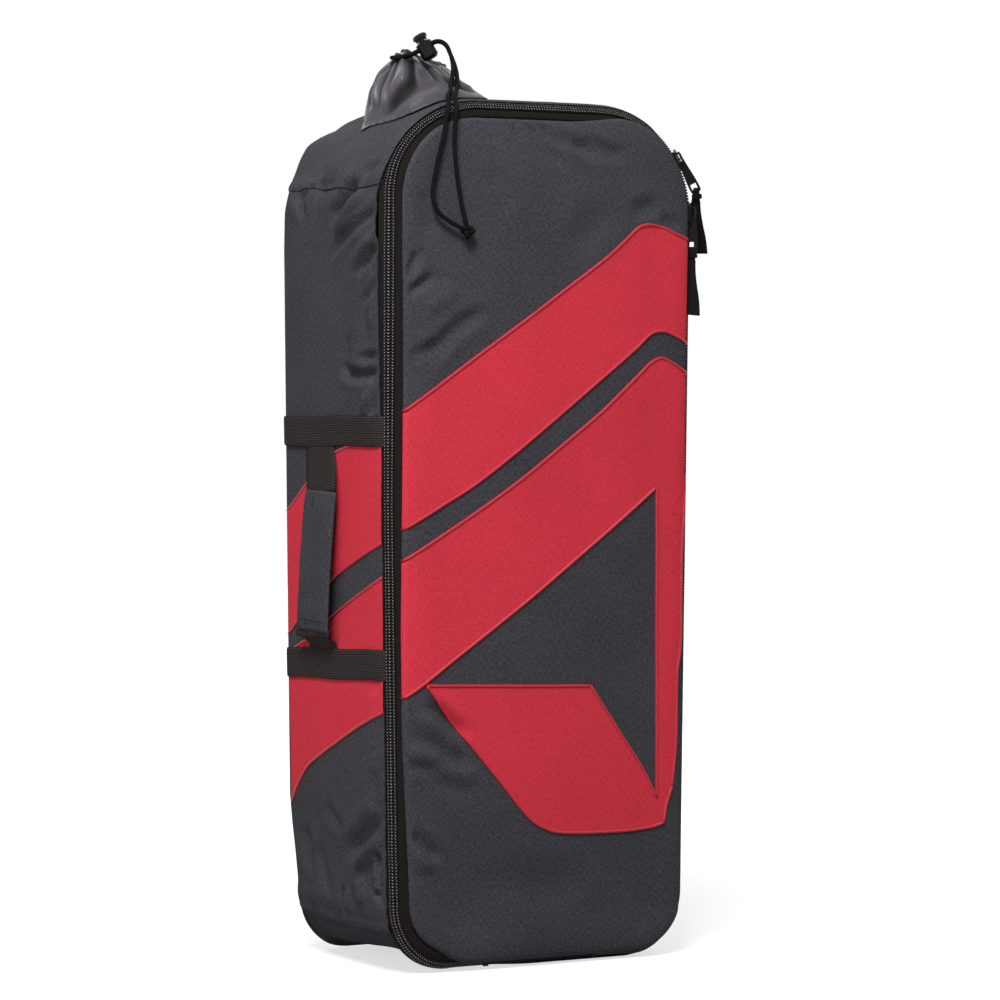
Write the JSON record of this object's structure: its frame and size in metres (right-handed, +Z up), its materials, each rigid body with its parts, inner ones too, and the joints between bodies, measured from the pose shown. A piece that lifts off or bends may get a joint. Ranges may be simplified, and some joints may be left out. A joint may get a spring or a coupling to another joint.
{
  "type": "sports equipment backpack",
  "caption": "Tall padded equipment backpack with a zip-round front cover hinged at the base, a gathered drawstring tube collar on top, a side carrying grip and padded shoulder straps.",
  "frame": {"origin": "centre of the flat base, where the bag stands on the floor", "axes": "+Z up along the bag's height, -Y out of the zipped front cover, +Y out of the back with the shoulder straps, the tube collar and side grip towards -X"},
  "size_m": [0.3316, 0.2291, 0.7764],
  "materials": {
    "slate_fabric": "woven, matt",
    "red_fabric": "woven, matt",
    "black_webbing": "woven webbing, matt",
    "zip_tape": "woven tape, matt",
    "zip_coil": "coil teeth, satin",
    "collar_nylon": "thin nylon, satin",
    "black_cord": "braided cord, matt",
    "lock_plastic": "moulded, satin",
    "slider_metal": "die cast, dark plated",
    "spring_steel": "wire",
    "tag_rubber": "moulded, matt",
    "lining_cloth": "brushed lining, matt",
    "white_foam": "closed-cell foam"
  },
  "bodies": {
    "case": {"back_foam": "white_foam", "back_lining": "lining_cloth", "back_panel": "slate_fabric", "base_gusset": "slate_fabric", "body_zip_chain": "zip_coil", "body_zip_tape": "zip_tape", "collar_hem": "collar_nylon", "collar_sleeve": "collar_nylon", "cord_knot": "black_cord", "draw_cord_front": "black_cord", "draw_cord_rear": "black_cord", "handle_webbing_lower": "black_webbing", "handle_webbing_upper": "black_webbing", "hinge_strip": "zip_tape", "inner_strap_lower": "black_webbing", "inner_strap_upper": "black_webbing", "left_side_panel": "slate_fabric", "lower_side_band": "black_webbing", "right_side_panel": "slate_fabric", "side_red_band_lower": "red_fabric", "side_red_band_upper": "red_fabric", "strap_anchor_left": "black_webbing", "strap_anchor_right": "black_webbing", "strap_webbing_left": "black_webbing", "strap_webbing_right": "black_webbing", "strap_yoke": "slate_fabric", "top_gusset": "slate_fabric", "upper_side_band": "black_webbing", "zip_stop_left": "slider_metal", "zip_stop_right": "slider_metal"},
    "cover": {"cover_panel": "slate_fabric", "cover_foam": "white_foam", "cover_lining": "lining_cloth", "cover_zip_tape": "zip_tape", "cover_zip_chain_left": "zip_coil", "cover_zip_chain_right": "zip_coil", "cover_hinge_leaf": "zip_tape", "cover_red_band_upper": "red_fabric", "cover_red_band_lower": "red_fabric", "cover_red_block": "red_fabric"},
    "upper_slider": {"slider_upper": "slider_metal"},
    "upper_pull": {"slider_upper_pull": "slider_metal"},
    "upper_tag": {"slider_upper_tag": "tag_rubber"},
    "lower_slider": {"slider_lower": "slider_metal"},
    "lower_pull": {"slider_lower_pull": "slider_metal"},
    "lower_tag": {"slider_lower_tag": "tag_rubber"},
    "lock": {"cord_lock_barrel": "lock_plastic", "cord_lock_spring": "spring_steel"},
    "lock_button": {"cord_lock_button": "lock_plastic"},
    "grip": {"handle_grip": "slate_fabric"},
    "left_pad": {"shoulder_pad_left": "slate_fabric", "ladder_lock_left": "lock_plastic"},
    "right_pad": {"shoulder_pad_right": "slate_fabric", "ladder_lock_right": "lock_plastic"}
  },
  "joints": [
    {"name": "cover_hinge", "type": "hinge", "parent": "case", "child": "cover", "pos_m": [0, -0.0859, 0.0061], "axis": [1, 0, 0], "range_deg": [0, 87], "deforming": ["draw_cord_front", "draw_cord_rear", "cord_knot"]},
    {"name": "upper_slider_run", "type": "hinge", "parent": "case", "child": "upper_slider", "pos_m": [0.0625, -0.0859, 0.631], "axis": [0, -1, 0], "range_deg": [0, 55]},
    {"name": "upper_pull_swing", "type": "hinge", "parent": "upper_slider", "child": "upper_pull", "pos_m": [0.13558, -0.08965, 0.67756], "axis": [-0.5964, -0.7071, -0.3799], "range_deg": [0, 100]},
    {"name": "upper_tag_swing", "type": "hinge", "parent": "upper_pull", "child": "upper_tag", "pos_m": [0.15288, -0.08965, 0.6504], "axis": [-0.5964, -0.7071, -0.3799], "range_deg": [0, 80]},
    {"name": "lower_slider_run", "type": "slide", "parent": "case", "child": "lower_slider", "axis": [-0.0148, 0, -0.9999], "range_m": [0, 0.5]},
    {"name": "lower_pull_swing", "type": "hinge", "parent": "lower_slider", "child": "lower_pull", "pos_m": [0.14917, -0.08965, 0.63172], "axis": [-0.707, -0.7071, 0.0105], "range_deg": [0, 100]},
    {"name": "lower_tag_swing", "type": "hinge", "parent": "lower_pull", "child": "lower_tag", "pos_m": [0.14869, -0.08965, 0.59952], "axis": [-0.707, -0.7071, 0.0105], "range_deg": [0, 80]},
    {"name": "cord_lock_slide", "type": "slide", "parent": "case", "child": "lock", "axis": [0.7466, -0.4406, 0.4984], "range_m": [0, 0.01], "deforming": ["draw_cord_front", "draw_cord_rear"]},
    {"name": "cord_lock_press", "type": "slide", "parent": "lock", "child": "lock_button", "axis": [0.4301, -0.2541, -0.8663], "range_m": [0, 0.003], "stiffness_N_per_m": 600, "springref_m": -0.003, "deforming": ["cord_lock_spring"]},
    {"name": "grip_lift", "type": "slide", "parent": "case", "child": "grip", "axis": [-0.9999, 0, 0.0118], "range_m": [0, 0.02], "deforming": ["handle_webbing_upper", "handle_webbing_lower"]},
    {"name": "left_pad_swing", "type": "hinge", "parent": "case", "child": "left_pad", "pos_m": [-0.056, 0.0995, 0.6], "axis": [1, 0, 0], "range_deg": [0, 40], "deforming": ["strap_webbing_left"]},
    {"name": "right_pad_swing", "type": "hinge", "parent": "case", "child": "right_pad", "pos_m": [0.056, 0.0995, 0.6], "axis": [1, 0, 0], "range_deg": [0, 40], "deforming": ["strap_webbing_right"]}
  ]
}
